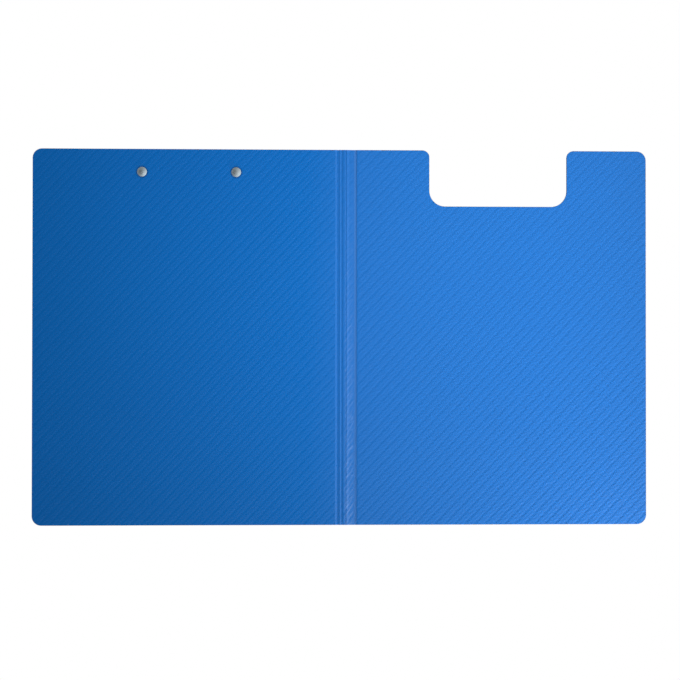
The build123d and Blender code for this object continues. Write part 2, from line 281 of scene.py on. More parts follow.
class FolderStageSettings(bpy.types.PropertyGroup):
    """Camera and floor."""

    lens: bpy.props.FloatProperty(name="Lens", description="Focal length in millimetres", default=84.4)
    distance: bpy.props.FloatProperty(
        name="Distance", description="From the camera to the sheet", default=1.36, unit="LENGTH"
    )
    turn: bpy.props.FloatVectorProperty(
        name="Turn",
        description="Pitch, yaw and roll of the camera",
        size=3,
        subtype="EULER",
        default=(math.radians(0.6), math.radians(-1.98), math.radians(-0.05)),
    )
    aim: bpy.props.FloatVectorProperty(
        name="Aim",
        description="Point that the camera looks at",
        size=3,
        subtype="XYZ",
        default=(0.0009, -0.0024, 0.0012),
    )
    floor_grey: bpy.props.FloatProperty(name="Floor", description="Lightness of the floor", default=0.86)


# Modelling helpers


def deselect():
    """Leave nothing selected, in object mode."""
    if bpy.context.mode != "OBJECT":
        bpy.ops.object.mode_set(mode="OBJECT")
    bpy.ops.object.select_all(action="DESELECT")


def activate(obj):
    """Leave this object selected and active, alone."""
    deselect()
    obj.select_set(True)
    bpy.context.view_layer.objects.active = obj


def edit_all(obj):
    """Enter edit mode with the whole mesh selected."""
    activate(obj)
    bpy.ops.object.mode_set(mode="EDIT")
    bpy.ops.mesh.select_all(action="SELECT")


def edit_chosen(obj, kind, chosen):
    """Enter edit mode with only the vertices or the faces selected that pass a test."""
    activate(obj)
    bpy.ops.object.mode_set(mode="EDIT")
    bpy.ops.mesh.select_mode(type=kind)
    bpy.ops.mesh.select_all(action="DESELECT")
    bpy.ops.object.mode_set(mode="OBJECT")
    elements = obj.data.vertices if kind == "VERT" else obj.data.polygons
    for element in elements:
        element.select = chosen(element)
    bpy.ops.object.mode_set(mode="EDIT")


def leave_edit():
    bpy.ops.object.mode_set(mode="OBJECT")


def apply_place(obj):
    """Move an object's place, turn and size into its mesh."""
    activate(obj)
    bpy.ops.object.transform_apply(location=True, rotation=True, scale=True)


def apply_modifier(obj, kind, **values):
    """Add one modifier, set it and apply it."""
    activate(obj)
    bpy.ops.object.modifier_add(type=kind)
    modifier = obj.modifiers[-1]
    for key, value in values.items():
        setattr(modifier, key, value)
    bpy.ops.object.modifier_apply(modifier=modifier.name)


def merged_copy(node, name):
    """Copy a node of the frame and join its loose triangles into whole faces."""
    obj = bpy.data.objects.new(name, frame["nodes"][node].data.copy())
    bpy.context.scene.collection.objects.link(obj)
    obj.data.materials.clear()
    edit_all(obj)
    bpy.ops.mesh.remove_doubles(threshold=MERGE_GAP)
    bpy.ops.mesh.dissolve_limited(angle_limit=math.radians(0.5))
    leave_edit()
    return obj


def clean(obj):
    """Close up the slivers that a cut or a bevel leaves."""
    edit_all(obj)
    bpy.ops.mesh.remove_doubles(threshold=MERGE_GAP)
    bpy.ops.mesh.dissolve_degenerate(threshold=SLIVER)
    leave_edit()


def cut_with(obj, tool, operation):
    """Cut a piece with another and delete the tool."""
    apply_modifier(obj, "BOOLEAN", operation=operation, object=tool, solver="MANIFOLD")
    bpy.data.objects.remove(tool)
    clean(obj)


def smooth(obj, angle=SMOOTH_ANGLE):
    """Shade smooth, but for the edges that are sharper than an angle."""
    activate(obj)
    bpy.ops.object.shade_smooth_by_angle(angle=angle)


def round_edges(obj, width):
    """Round the sharp edges of a stamped or moulded piece."""
    apply_modifier(
        obj,
        "BEVEL",
        width=width,
        segments=2,
        limit_method="ANGLE",
        angle_limit=math.radians(35),
        use_clamp_overlap=False,
        miter_outer="MITER_ARC",
    )
    clean(obj)
    smooth(obj)
    apply_modifier(obj, "WEIGHTED_NORMAL", mode="FACE_AREA", weight=80, keep_sharp=True)


def seat(obj, body, node):
    """Finish a piece: its body and the node that it stands for."""
    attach(obj, body)
    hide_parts(node)


def finish_with(obj, material):
    """Give a piece one material."""
    obj.data.materials.clear()
    obj.data.materials.append(material)


# Material helpers


def new_material(name):
    """Make a node material and return it with its tree and its main shader."""
    material = bpy.data.materials.new(name)
    material.use_nodes = True
    shader = material.node_tree.nodes["Principled BSDF"]
    return material, material.node_tree, shader


def set_inputs(tree, node, inputs):
    """Link each named input of a node to a socket, or set it to a constant."""
    for key, value in inputs.items():
        if isinstance(value, bpy.types.NodeSocket):
            tree.links.new(value, node.inputs[key])
        else:
            node.inputs[key].default_value = value


def add_node(tree, kind, inputs=None, **values):
    """Add a node, set its properties, and set or link its inputs."""
    made = tree.nodes.new(kind)
    for key, value in values.items():
        setattr(made, key, value)
    set_inputs(tree, made, inputs or {})
    return made


def object_point(tree, turn=0.0, stretch=(1.0, 1.0, 1.0)):
    """Give Object coordinates, turned about Z and then stretched."""
    coordinates = add_node(tree, "ShaderNodeTexCoord")
    turned = add_node(
        tree, "ShaderNodeMapping", {"Vector": coordinates.outputs["Object"], "Rotation": (0.0, 0.0, turn)}
    )
    scaled = add_node(tree, "ShaderNodeMapping", {"Vector": turned.outputs["Vector"], "Scale": stretch})
    return scaled.outputs["Vector"]


def noise(tree, point, size, detail=2.0, roughness=0.5):
    """Give noise whose features are about so many metres across."""
    made = add_node(
        tree,
        "ShaderNodeTexNoise",
        {"Vector": point, "Scale": 1.0 / size, "Detail": detail, "Roughness": roughness},
    )
    return made.outputs["Fac"]


def waves(tree, turn, pitch, distortion):
    """Give wavy lines so many metres apart, turned about Z."""
    made = add_node(
        tree,
        "ShaderNodeTexWave",
        {"Vector": object_point(tree, turn), "Scale": 0.1 * math.pi / pitch, "Distortion": distortion},
    )
    return made.outputs["Fac"]


def remap(tree, value, low, high, to_low, to_high):
    """Map the range from low to high onto another, and hold it at the ends."""
    made = add_node(
        tree,
        "ShaderNodeMapRange",
        {"Value": value, "From Min": low, "From Max": high, "To Min": to_low, "To Max": to_high},
    )
    return made.outputs["Result"]


def combine(tree, operation, first, second):
    """Give the result of a sum on two values."""
    made = add_node(tree, "ShaderNodeMath", {0: first, 1: second}, operation=operation)
    return made.outputs["Value"]


def weighted(tree, first, first_share, second, second_share):
    """Add two values, each times its share."""
    return combine(
        tree,
        "ADD",
        combine(tree, "MULTIPLY", first, first_share),
        combine(tree, "MULTIPLY", second, second_share),
    )


def how_far(tree, value, place):
    """Give how far a value lies from a place, either way."""
    return combine(tree, "ABSOLUTE", combine(tree, "SUBTRACT", value, place), 0.0)


def bump(tree, height, distance):
    """Raise the surface by a height from 0 to 1 times so many metres."""
    made = add_node(tree, "ShaderNodeBump", {"Height": height, "Distance": distance, "Strength": 1.0})
    return made.outputs["Normal"]


def whole_colour(colour):
    """Give a colour that is a socket or a setting in a form that a socket takes."""
    return colour if isinstance(colour, bpy.types.NodeSocket) else tuple(colour)


def shaded(tree, colour, light, low, high):
    """Multiply a colour by a factor between low and high that follows a value from 0 to 1."""
    inputs = {0: whole_colour(colour), "Scale": remap(tree, light, 0.0, 1.0, low, high)}
    made = add_node(tree, "ShaderNodeVectorMath", inputs, operation="SCALE")
    return made.outputs["Vector"]


def blended(tree, first, second, share):
    """Mix two colours by a share from 0 to 1."""
    inputs = {0: share, 4: whole_colour(first), 5: whole_colour(second)}
    made = add_node(tree, "ShaderNodeMix", inputs, data_type="VECTOR")
    return made.outputs[1]


# Materials


def painted_band_highlight(tree, place, strands):
    """Give a painted highlight on the spine's wide band: rope-like glints that grow towards the folder's
    foot, where the light falls.
    """
    band_x, full_gap, no_gap = spine_low.x + 4.6 * MM, 2.2 * MM, 5.0 * MM
    unlit_band_y, lit_band_y = 0.14, -0.15
    rope_turn, rope_pitch = math.radians(-32), 3.3 * MM
    in_band = remap(tree, how_far(tree, place["X"], band_x), full_gap, no_gap, 1.0, 0.0)
    to_foot = remap(tree, place["Y"], unlit_band_y, lit_band_y, 0.0, 1.0)
    rope = waves(tree, rope_turn, rope_pitch, 2.5)
    rope_highlight = remap(tree, rope, 0.5, 0.9, 0.0, 0.16)
    strand_highlight = remap(tree, strands, 0.50, 0.66, 0.0, 0.24)
    glint_sum = combine(tree, "ADD", combine(tree, "ADD", rope_highlight, strand_highlight), 0.02)
    return combine(tree, "MULTIPLY", combine(tree, "MULTIPLY", glint_sum, to_foot), in_band)


def outer_blue(tree, sheet, plain, strands):
    """The outer side's blue: painted sheen makes it paler on the cover, and painted highlights make it paler
    still on the spine's band and at the cover's fold.
    """
    fold_line_x, full_gap, no_gap = cover_fold_x - 0.3 * MM, 0.7 * MM, 1.5 * MM
    board_x, cover_x = 0.03, -0.012
    place = add_node(tree, "ShaderNodeSeparateXYZ", {0: plain}).outputs
    # Painted highlights: a paler line along the cover's fold, and the rope-like glints on the spine's band
    fold_highlight = remap(tree, how_far(tree, place["X"], fold_line_x), full_gap, no_gap, 0.14, 0.0)
    whitened = combine(tree, "MAXIMUM", painted_band_highlight(tree, place, strands), fold_highlight)
    # Painted sheen: the blue turns paler and greyer from the board towards the cover
    to_cover = remap(tree, place["X"], board_x, cover_x, 0.0, 1.0)
    half = blended(tree, sheet.blue, sheet.cover_sheen_blue, to_cover)
    return blended(tree, half, sheet.painted_highlight_blue, whitened)


def painted_rivet_shadow(tree, plain):
    """Give a painted shadow as a factor up to 1: a dark ring on the sheet around each rivet head."""
    ring_width, ring_shade = 1.7 * MM, 0.45
    gaps = []
    for x in rivet_x:
        inputs = {0: plain, 1: (x, rivet_y, outer_z)}
        gap = add_node(tree, "ShaderNodeVectorMath", inputs, operation="DISTANCE")
        gaps.append(gap.outputs["Value"])
    nearest = combine(tree, "MINIMUM", *gaps)
    return remap(tree, nearest, head_radius, head_radius + ring_width, ring_shade, 1.0)


def embossed_plastic(sheet):
    """Blue polypropylene with strands along the ribs, fine cross lines and a satin speckle."""
    material, tree, shader = new_material("embossed_blue")
    strand_size, speckle_size, patch_size = 1.7 * MM, 0.95 * MM, 55 * MM
    cross_turn, cross_pitch, relief_depth = math.radians(-71), 2.9 * MM, 0.075 * MM
    plain = object_point(tree)
    along_ribs = object_point(tree, -sheet.rib_angle, (1.0, 0.22, 1.0))
    strands = noise(tree, along_ribs, strand_size, 3.0, 0.6)
    speckle = noise(tree, plain, speckle_size, 2.0, 0.6)
    patches = noise(tree, plain, patch_size, 2.0)
    cross_lines = waves(tree, cross_turn, cross_pitch, 1.5)
    relief = combine(tree, "ADD", strands, combine(tree, "MULTIPLY", speckle, 0.5))
    relief = combine(tree, "ADD", relief, combine(tree, "MULTIPLY", cross_lines, 0.25))
    tone_and_painted_shadow = remap(tree, weighted(tree, strands, 0.5, patches, 0.5), 0.0, 1.0, 0.94, 1.06)
    # Painted shadow: a dark ring around each rivet head is multiplied into the outer side's colour
    tone_and_painted_shadow = combine(tree, "MULTIPLY", tone_and_painted_shadow, painted_rivet_shadow(tree, plain))
    set_inputs(
        tree,
        shader,
        {
            "Base Color": shaded(tree, outer_blue(tree, sheet, plain, strands), tone_and_painted_shadow, 0.0, 1.0),
            "Normal": bump(tree, relief, relief_depth),
            "Roughness": remap(tree, speckle, 0.3, 0.7, 0.26, 0.36),
            "IOR": 1.49,
            "Specular IOR Level": 0.5,
        },
    )
    return material


def inner_plastic(sheet):
    """The sheet's inner side: the same blue with a fine matt grain."""
    material, tree, shader = new_material("inner_blue")
    grain_size, patch_size, scuff_size, grain_depth = 0.8 * MM, 60 * MM, 5 * MM, 0.05 * MM
    plain = object_point(tree)
    grain = noise(tree, plain, grain_size, 4.0, 0.7)
    patches = noise(tree, plain, patch_size, 3.0)
    scuffs = noise(tree, object_point(tree, 0.5, (1.0, 0.08, 1.0)), scuff_size, 5.0, 0.7)
    set_inputs(
        tree,
        shader,
        {
            "Base Color": shaded(tree, sheet.blue, patches, 0.9, 1.1),
            "Normal": bump(tree, grain, grain_depth),
            "Roughness": remap(tree, scuffs, 0.35, 0.7, 0.48, 0.60),
            "IOR": 1.49,
            "Specular IOR Level": 0.35,
        },
    )
    return material


def cut_plastic(sheet):
    """The sheet's cut edges: a darker blue, painted shade for the dark rim along the sheet's edges, with fine
    lines left by the cutting rule.
    """
    material, tree, shader = new_material("cut_edge_blue")
    line_size, line_depth = 0.5 * MM, 0.02 * MM
    lines = noise(tree, object_point(tree, 0.0, (1.0, 1.0, 0.05)), line_size, 2.0)
    set_inputs(
        tree,
        shader,
        {
            "Base Color": shaded(tree, sheet.edge_blue, lines, 0.85, 1.15),
            "Normal": bump(tree, lines, line_depth),
            "Roughness": 0.5,
        },
    )
    return material


def sheet_materials():
    """Make the sheet's three finishes once, and give them in the order outer, inner, cut edge."""
    if "embossed_blue" not in bpy.data.materials:
        for make in (embossed_plastic, inner_plastic, cut_plastic):
            make(bpy.context.scene.folder_sheet)
    return [bpy.data.materials[name] for name in ("embossed_blue", "inner_blue", "cut_edge_blue")]


def bright_steel(name, colour, smoothest, roughest):
    """Plated or plain steel: fine drawn lines, hairline scratches and a slightly uneven gloss."""
    material, tree, shader = new_material(name)
    line_size, cloud_size, scratch_size, relief_depth = 0.25 * MM, 9 * MM, 0.6 * MM, 0.004 * MM
    drawn = noise(tree, object_point(tree, 0.0, (0.04, 1.0, 1.0)), line_size, 2.0)
    cloud = noise(tree, object_point(tree), cloud_size, 4.0, 0.6)
    scratch_field = noise(tree, object_point(tree, 0.7, (1.0, 0.03, 1.0)), scratch_size, 1.0)
    scratches = remap(tree, scratch_field, 0.66, 0.72, 0.0, 1.0)
    relief = combine(tree, "SUBTRACT", combine(tree, "MULTIPLY", drawn, 0.4), scratches)
    gloss = weighted(tree, cloud, 0.6, drawn, 0.4)
    set_inputs(
        tree,
        shader,
        {
            "Base Color": shaded(tree, colour, cloud, 0.9, 1.08),
            "Normal": bump(tree, relief, relief_depth),
            "Roughness": remap(tree, gloss, 0.3, 0.7, smoothest, roughest),
            "Metallic": 1.0,
        },
    )
    return material


def guard_plastic(clip):
    """Black moulded plastic with a spark-eroded grain."""
    material, tree, shader = new_material("guard_black")
    grain_size, grain_depth = 0.35 * MM, 0.03 * MM
    grain = noise(tree, object_point(tree), grain_size, 3.0, 0.6)
    set_inputs(
        tree,
        shader,
        {
            "Base Color": shaded(tree, clip.black, grain, 0.7, 1.5),
            "Normal": bump(tree, grain, grain_depth),
            "Roughness": remap(tree, grain, 0.3, 0.7, 0.42, 0.58),
        },
    )
    return material


# Sheet


def rib_rise(x, y):
    """Give how far the outer face lies in from the tops of the ribs at a point.

    A second, fainter line runs between the ribs.
    """
    sheet = bpy.context.scene.folder_sheet
    across = x * math.sin(sheet.rib_angle) + y * math.cos(sheet.rib_angle)
    turn = 2 * math.pi * across / sheet.rib_pitch
    wave = 0.5 + 0.30 * math.cos(turn) + 0.20 * math.cos(2 * turn + 0.9)
    return sheet.rib_height * wave


def spine_rise(x):
    """Give how far the spine's outer face leans in: a slope into its first score, and a band's fall."""
    band_fall = bpy.context.scene.folder_sheet.band_fall
    profile = (
        (spine_high.x - 0.5 * MM, 0.0),
        (spine_low.x + 10.8 * MM, 0.45 * MM),
        (spine_low.x + 10.0 * MM, 0.0),
        (spine_low.x + 6.6 * MM, 0.0),
        (spine_low.x + 4.6 * MM, 0.6 * band_fall),
        (spine_low.x, band_fall),
    )
    for (right, right_rise), (left, left_rise) in zip(profile, profile[1:]):
        if left <= x <= right:
            return right_rise + (left_rise - right_rise) * (right - x) / (right - left)
    return 0.0 if x > 0 else band_fall


def relief_block(low, high, turn, step_across, step_along, rise):
    """Make a block over a strip of the sheet, whose lower face carries a relief, to cut the strip with."""
    middle = (low + high) / 2
    margin = 4 * MM
    width, length = (high.x - low.x + margin, high.y - low.y + margin)
    if turn:
        width = length = math.hypot(width, length)
    deselect()
    bpy.ops.mesh.primitive_grid_add(
        x_subdivisions=int(width / step_across),
        y_subdivisions=int(length / step_along),
        size=1,
        location=(middle.x, middle.y, outer_z),
        rotation=(0, 0, turn),
    )
    block = bpy.context.object
    block.scale = (width, length, 1)
    apply_place(block)
    for vertex in block.data.vertices:
        vertex.co.z += rise(vertex.co.x, vertex.co.y)
    edit_all(block)
    bpy.ops.mesh.extrude_region_move(TRANSFORM_OT_translate={"value": (0, 0, 3 * (inner_z - outer_z))})
    bpy.ops.mesh.select_all(action="SELECT")
    bpy.ops.mesh.normals_make_consistent(inside=False)
    leave_edit()
    return block


def press_shoulder(obj, line, side, slope):
    """Press a slope into the outer face beside a fold line, on the side towards +X or -X."""
    width = bpy.context.scene.folder_sheet.shoulder
    deselect()
    bpy.ops.mesh.primitive_cube_add(size=1)
    tool = bpy.context.object
    tool.scale = (4 * width, 2 * (board_high.y - board_low.y), 4 * width)
    apply_place(tool)
    # The block's upper corner starts the slope, and its upper face is the slope
    tool.data.transform(Matrix.Translation((-side * 2 * width, 0, -2 * width)))
    tool.rotation_euler = (0, side * slope, 0)
    tool.location = (line + side * width, 0, outer_z)
    apply_place(tool)
    cut_with(obj, tool, "DIFFERENCE")


def paint_sheet(obj):
    """Give the outer side, the inner side and the cut edges their own finishes."""
    outer, inner, cut_edge = range(3)
    beside_fold = 2 * MM
    obj.data.materials.clear()
    for material in sheet_materials():
        obj.data.materials.append(material)
    for face in obj.data.polygons:
        in_spine = front_web_low.x - beside_fold < face.center.x < back_web_high.x + beside_fold
        flank = in_spine and abs(face.normal.y) < 0.5
        if abs(face.normal.z) < 0.9 and not flank:
            face.material_index = cut_edge
        else:
            face.material_index = outer if face.normal.z < 0 else inner


def embossed_sheet(node, name, body):
    """Press the ribs, and the slope beside the fold, into a copy of one half of the sheet."""
    sheet = bpy.context.scene.folder_sheet
    obj = merged_copy(node, name)
    low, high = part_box(node)
    turn = math.pi / 2 - sheet.rib_angle
    steps_per_rib = 14
    block = relief_block(low, high, turn, sheet.rib_pitch / steps_per_rib, 20 * MM, rib_rise)
    cut_with(obj, block, "INTERSECT")
    if node == "back_panel":
        press_shoulder(obj, board_low.x + fold_flank, 1, sheet.shoulder_slope)
    else:
        press_shoulder(obj, cover_high.x - fold_flank, -1, sheet.cover_slope)
    smooth(obj, math.radians(12))
    paint_sheet(obj)
    # A rib's strips are too narrow to be seen, and smoothing would smear the ribs along the cut edges
    for face in obj.data.polygons:
        if face.material_index == 0:
            face.use_smooth = False
    seat(obj, body, node)


class FolderBoardSheet(bpy.types.Operator):
    """Model the board half of the sheet, with its diagonal ribs"""

    bl_idname = "folder.board_sheet"
    bl_label = "Board sheet"

    def execute(self, context):
        embossed_sheet("back_panel", "board_sheet", "clipboard")
        return {"FINISHED"}


class FolderCoverSheet(bpy.types.Operator):
    """Model the cover half of the sheet, with its ribs and the notch"""

    bl_idname = "folder.cover_sheet"
    bl_label = "Cover sheet"

    def execute(self, context):
        embossed_sheet("front_panel", "cover_sheet", "front_cover")
        return {"FINISHED"}


class FolderSpineSheet(bpy.types.Operator):
    """Model the spine between the two fold lines, with its relief scores and its leaning band"""

    bl_idname = "folder.spine_sheet"
    bl_label = "Spine sheet"

    def execute(self, context):
        obj = merged_copy("spine_strip", "spine_sheet")
        block = relief_block(
            spine_low, spine_high, 0.0, 0.5 * MM, 0.8 * MM, lambda x, y: rib_rise(x, y) + spine_rise(x)
        )
        cut_with(obj, block, "INTERSECT")
        smooth(obj, math.radians(20))
        paint_sheet(obj)
        seat(obj, "spine", "spine_strip")
        return {"FINISHED"}


class FolderFoldWebs(bpy.types.Operator):
    """Model the two thin webs along the fold lines, where the real sheet bends as the folder is folded, each
    cut into strips
    """

    bl_idname = "folder.fold_webs"
    bl_label = "Fold webs"

    def execute(self, context):
        strips = 11
        webs = (
            ("back_score_web", "back_fold", back_web_low, back_web_high, "clipboard", "spine"),
            ("front_score_web", "front_fold", front_web_low, front_web_high, "spine", "front_cover"),
        )
        for node, name, low, high, first, second in webs:
            deselect()
            bpy.ops.mesh.primitive_cube_add(size=1, location=(low + high) / 2, scale=high - low)
            obj = bpy.context.object
            obj.name = name
            apply_place(obj)
            edit_all(obj)
            for strip in range(1, strips):
                bpy.ops.mesh.select_all(action="SELECT")
                line_x = low.lerp(high, strip / strips).x
                bpy.ops.mesh.bisect(plane_co=(line_x, 0, 0), plane_no=(1, 0, 0))
            leave_edit()
            paint_sheet(obj)
            smooth(obj)
            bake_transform(obj)
            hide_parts(node)
        return {"FINISHED"}


# Clip


def grow(rise, scale, centre):
    """Extrude the selected face upwards and resize it about a centre."""
    bpy.ops.mesh.extrude_region_move(TRANSFORM_OT_translate={"value": (0, 0, rise)})
    bpy.ops.transform.resize(value=(scale, scale, 1), center_override=centre)


class FolderRivets(bpy.types.Operator):
    """Model the two rivets: domed heads outside, shanks, and dimpled ends on the base plate"""

    bl_idname = "folder.rivets"
    bl_label = "Rivets"

    def execute(self, context):
        shank_radius, end_radius = 2 * MM, 3 * MM
        dome_height, rim_height = 1.0 * MM, 0.2 * MM
        ball = (head_radius**2 + dome_height**2) / (2 * dome_height)
        plate_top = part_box("clip_base")[0].z + plate_thickness
        # Angles from the dome's axis: a small first face, then rings out to the rim
        rings, widest = 12, math.asin(head_radius / ball)
        angles = [widest * ring / rings for ring in (0.3, *range(1, rings + 1))]
        # Rise and resize of every ring: dome, rim, shank, and the clinched end with its dimple
        steps = [
            (ball * (math.cos(last) - math.cos(angle)), math.sin(angle) / math.sin(last))
            for last, angle in zip(angles, angles[1:])
        ]
        steps += [(rim_height, 1.0), (0, shank_radius / head_radius)]
        steps += [(plate_top - outer_z, 1.0), (0, end_radius / shank_radius)]
        steps += [(0.6 * MM, 0.93), (0.3 * MM, 0.82), (0, 0.86), (-0.3 * MM, 0.55), (-0.15 * MM, 0.35)]
        centre = Vector((rivet_x[0], rivet_y, rivets_low.z))
        deselect()
        bpy.ops.mesh.primitive_circle_add(
            vertices=64, radius=ball * math.sin(angles[0]), fill_type="NGON", location=centre
        )
        obj = bpy.context.object
        obj.name = "rivets"
        apply_place(obj)
        edit_all(obj)
        for rise, scale in steps:
            grow(rise, scale, centre)
        bpy.ops.mesh.select_all(action="SELECT")
        bpy.ops.mesh.remove_doubles(threshold=SLIVER)
        bpy.ops.mesh.normals_make_consistent(inside=False)
        bpy.ops.mesh.duplicate_move(TRANSFORM_OT_translate={"value": (rivet_x[1] - rivet_x[0], 0, 0)})
        leave_edit()
        smooth(obj, math.radians(40))
        # Painted reflection: the rivets' darker grey stands for the dark surroundings that their heads
        # reflect
        finish_with(obj, bright_steel("rivet_nickel", context.scene.folder_clip.rivet, 0.42, 0.54))
        seat(obj, "clipboard", "clip_rivets")
        return {"FINISHED"}


def press_panel(lever, clip):
    """Press a long rounded panel into the lever's sloping top."""
    slope = clip.lever_slope
    top_over_pin, top_to_middle = 4.5 * MM, 3.4
    top = pin_point.y - top_over_pin * math.sin(slope), pin_point.z + top_over_pin * math.cos(slope)
    along_top = Vector((0, math.cos(slope), math.sin(slope))) * top_to_middle * MM
    deselect()
    bpy.ops.mesh.primitive_cube_add(size=1)
    tool = bpy.context.object
    tool.scale = (clip.panel_length, clip.panel_width, 2 * clip.panel_depth)
    apply_place(tool)
    # Known fault: the bevel takes all edges, not only the upright ones, and is wider than the block is high.
    # So the block folds through itself, and the panel that it presses is misshapen.
    edit_all(tool)
    bpy.ops.mesh.select_mode(type="EDGE")
    bpy.ops.mesh.bevel(offset=0.48 * clip.panel_width, segments=12, affect="EDGES")
    edit_chosen(tool, "VERT", lambda vertex: vertex.co.z < 0)
    taper = 3 * clip.panel_depth
    bpy.ops.transform.resize(value=(1 - taper / clip.panel_length, 1 - taper / clip.panel_width, 1))
    leave_edit()
    tool.rotation_euler = (slope, 0, 0)
    tool.location = Vector((clip_x, *top)) + along_top
    apply_place(tool)
    cut_with(lever, tool, "DIFFERENCE")


class FolderClipPlates(bpy.types.Operator):
    """Model the stamped plates of the clip: the base, the lever and the hanging tab"""

    bl_idname = "folder.clip_plates"
    bl_label = "Clip plates"

    def execute(self, context):
        clip = context.scene.folder_clip
        nickel = bright_steel("clip_nickel", clip.nickel, 0.14, 0.30)
        plates = (
            ("clip_base", "base_plate", "clipboard", "clip_metal"),
            ("clip_lever", "lever_plate", "lever", "clip_metal"),
            ("hang_tab", "hanging_tab", "tab", "tab_metal"),
        )
        for node, name, body, slot in plates:
            obj = merged_copy(node, name)
            if node == "clip_lever":
                press_panel(obj, clip)
            round_edges(obj, clip.edge_round)
            finish_with(obj, nickel)
            seat(obj, body, node)
        return {"FINISHED"}


class FolderHingePin(bpy.types.Operator):
    """Model the hinge pin with its two tapered heads"""

    bl_idname = "folder.hinge_pin"
    bl_label = "Hinge pin"

    def execute(self, context):
        clip = context.scene.folder_clip
        low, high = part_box("hinge_pin")
        radius, wide_radius, head_height = 1.5 * MM, (high.y - low.y) / 2, 0.8 * MM
        shank_length = high.x - low.x - 2 * head_height
        # Steps of each head: how far out, and the resize there
        steps = ((0, wide_radius / radius), (0.4 * head_height, 1.0), (0.6 * head_height, 0.8))
        deselect()
        bpy.ops.mesh.primitive_cylinder_add(
            vertices=40, radius=radius, depth=shank_length, location=pin_point, rotation=(0, math.pi / 2, 0)
        )
        obj = bpy.context.object
        obj.name = "pin"
        apply_place(obj)
        for side in (-1, 1):
            edit_chosen(obj, "FACE", lambda face: face.normal.x * side > 0.9)
            for out, scale in steps:
                bpy.ops.mesh.extrude_region_move(TRANSFORM_OT_translate={"value": (side * out, 0, 0)})
                bpy.ops.transform.resize(value=(1, scale, scale), center_override=pin_point)
            leave_edit()
        round_edges(obj, clip.edge_round)
        finish_with(obj, bright_steel("pin_steel", clip.steel, 0.22, 0.38))
        seat(obj, "clipboard", "hinge_pin")
        return {"FINISHED"}


class FolderGuards(bpy.types.Operator):
    """Model the black plastic guards on the ends of the jaw"""

    bl_idname = "folder.guards"
    bl_label = "Jaw guards"

    def execute(self, context):
        clip = context.scene.folder_clip
        black = guard_plastic(clip)
        for side in ("left", "right"):
            obj = merged_copy(side + "_guard", side + "_jaw_guard")
            round_edges(obj, 2 * clip.edge_round)
            finish_with(obj, black)
            seat(obj, "lever", side + "_guard")
        return {"FINISHED"}


def extend_wire(obj, ring, move):
    """Draw one end of the wire out into a straight leg and close it."""
    edit_chosen(obj, "VERT", lambda vertex: vertex.index in ring)
    bpy.ops.mesh.extrude_region_move(TRANSFORM_OT_translate={"value": move})
    bpy.ops.mesh.edge_face_add()
    leave_edit()


def wound_spring(clip, name, turns, start, sweep, advance):
    """Wind a wire about the X axis from a start angle, and draw its two ends out into legs."""
    wire_sides, steps_per_turn = 14, 26
    rise_per_angle = clip.coil_pitch / (2 * math.pi)
    deselect()
    bpy.ops.mesh.primitive_circle_add(
        vertices=wire_sides,
        radius=clip.wire / 2,
        location=(clip.coil_inset, clip.coil_radius * math.cos(start), clip.coil_radius * math.sin(start)),
        rotation=(start, 0, 0),
    )
    obj = bpy.context.object
    obj.name = name
    apply_place(obj)
    apply_modifier(
        obj,
        "SCREW",
        axis="X",
        angle=-sweep,
        screw_offset=advance,
        steps=steps_per_turn * turns,
        render_steps=steps_per_turn * turns,
    )
    count = len(obj.data.vertices)
    ends = ((start, range(wire_sides), -1), (start - sweep, range(count - wire_sides, count), 1))
    for angle, ring, way in ends:
        along = Vector(
            (rise_per_angle, clip.coil_radius * math.sin(angle), -clip.coil_radius * math.cos(angle))
        )
        extend_wire(obj, ring, along.normalized() * way * clip.spring_leg)
    return obj


class FolderSprings(bpy.types.Operator):
    """Model the two torsion springs wound about the hinge pin; in the real clip they twist as it is opened"""

    bl_idname = "folder.springs"
    bl_label = "Springs"

    def execute(self, context):
        clip = context.scene.folder_clip
        spring_wire = bright_steel("spring_wire", clip.steel, 0.20, 0.34)
        turns = 5
        start = -math.pi / 2 - clip.base_leg_angle
        sweep = 2 * math.pi * turns - math.pi - clip.base_leg_angle - clip.lever_leg_angle
        advance = clip.coil_pitch * sweep / (2 * math.pi)
        for side in ("left", "right"):
            obj = wound_spring(clip, side + "_torsion_spring", turns, start, sweep, advance)
            if side == "left":
                obj.scale.x = -1
            obj.location = pin_point
            apply_place(obj)
            edit_all(obj)
            bpy.ops.mesh.normals_make_consistent(inside=False)
            leave_edit()
            smooth(obj, math.radians(50))
            finish_with(obj, spring_wire)
            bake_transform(obj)
            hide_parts(side + "_spring")
        return {"FINISHED"}


# Stage


def mix_shaders(tree, share, first, second):
    """Mix two shader nodes by a share from 0 to 1."""
    return add_node(tree, "ShaderNodeMixShader", {0: share, 1: first.outputs[0], 2: second.outputs[0]})


def one_sided_floor(grey):
    """Pale floor that shows only from above.

    It lets light through, but for light that the folder throws back on it.
    """
    material, tree, shader = new_material("pale_floor")
    set_inputs(
        tree, shader, {"Base Color": (grey, grey, grey, 1), "Roughness": 0.9, "Specular IOR Level": 0.1}
    )
    path = add_node(tree, "ShaderNodeLightPath").outputs
    geometry = add_node(tree, "ShaderNodeNewGeometry")
    front = combine(tree, "SUBTRACT", 1.0, geometry.outputs["Backfacing"])
    seen = combine(tree, "MULTIPLY", path["Is Camera Ray"], front)
    thrown_back = combine(tree, "GREATER_THAN", path["Diffuse Depth"], 0.5)
    shadow = combine(tree, "MULTIPLY", path["Is Shadow Ray"], thrown_back)
    shown = combine(tree, "MAXIMUM", seen, shadow)
    clear = add_node(tree, "ShaderNodeBsdfTransparent")
    mixed = mix_shaders(tree, shown, clear, shader)
    tree.links.new(mixed.outputs["Shader"], tree.nodes["Material Output"].inputs["Surface"])
    return material


def background(tree, strength):
    """Make white light of a strength that may follow a socket."""
    return add_node(tree, "ShaderNodeBackground", {"Color": (1, 1, 1, 1), "Strength": strength})


